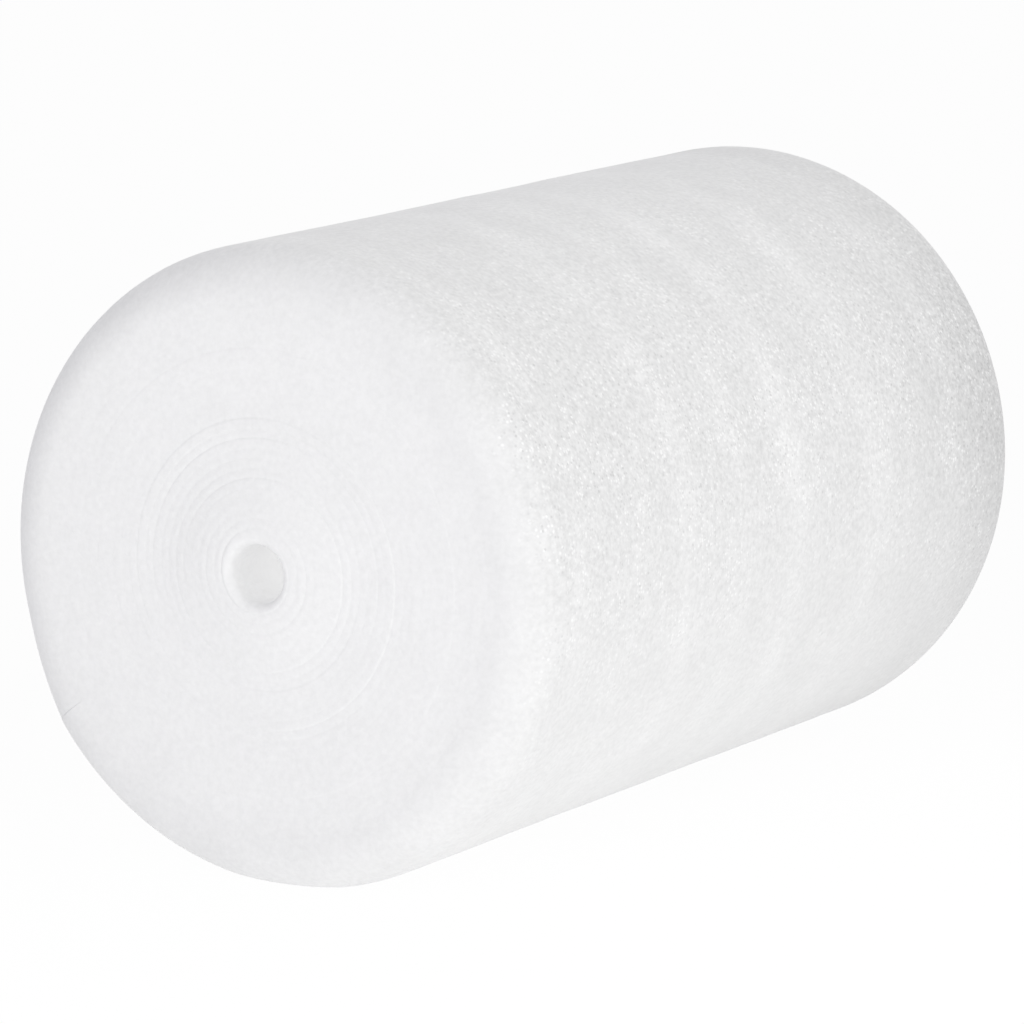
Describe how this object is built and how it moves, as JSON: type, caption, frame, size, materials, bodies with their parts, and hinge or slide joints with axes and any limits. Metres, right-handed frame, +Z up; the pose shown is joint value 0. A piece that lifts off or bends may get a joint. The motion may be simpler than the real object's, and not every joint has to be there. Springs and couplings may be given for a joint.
{
  "type": "foam wrap roll",
  "caption": "Coreless roll of thin white polyethylene foam wrap, lying on its side, with a narrow hole along its axis and soft rounded ends.",
  "frame": {"origin": "centre of the overall box, on the plane of the flat spot that the roll lies on", "axes": "+X along the roll's axis from the near end to the far end, +Z up, and the outer end of the web at the back, towards +Y"},
  "size_m": [0.308, 0.1952, 0.1955],
  "materials": {
    "foam": "white closed-cell foam, faintly glossy on its skin"
  },
  "bodies": {
    "root": {"foam_roll": "foam"}
  },
  "joints": []
}
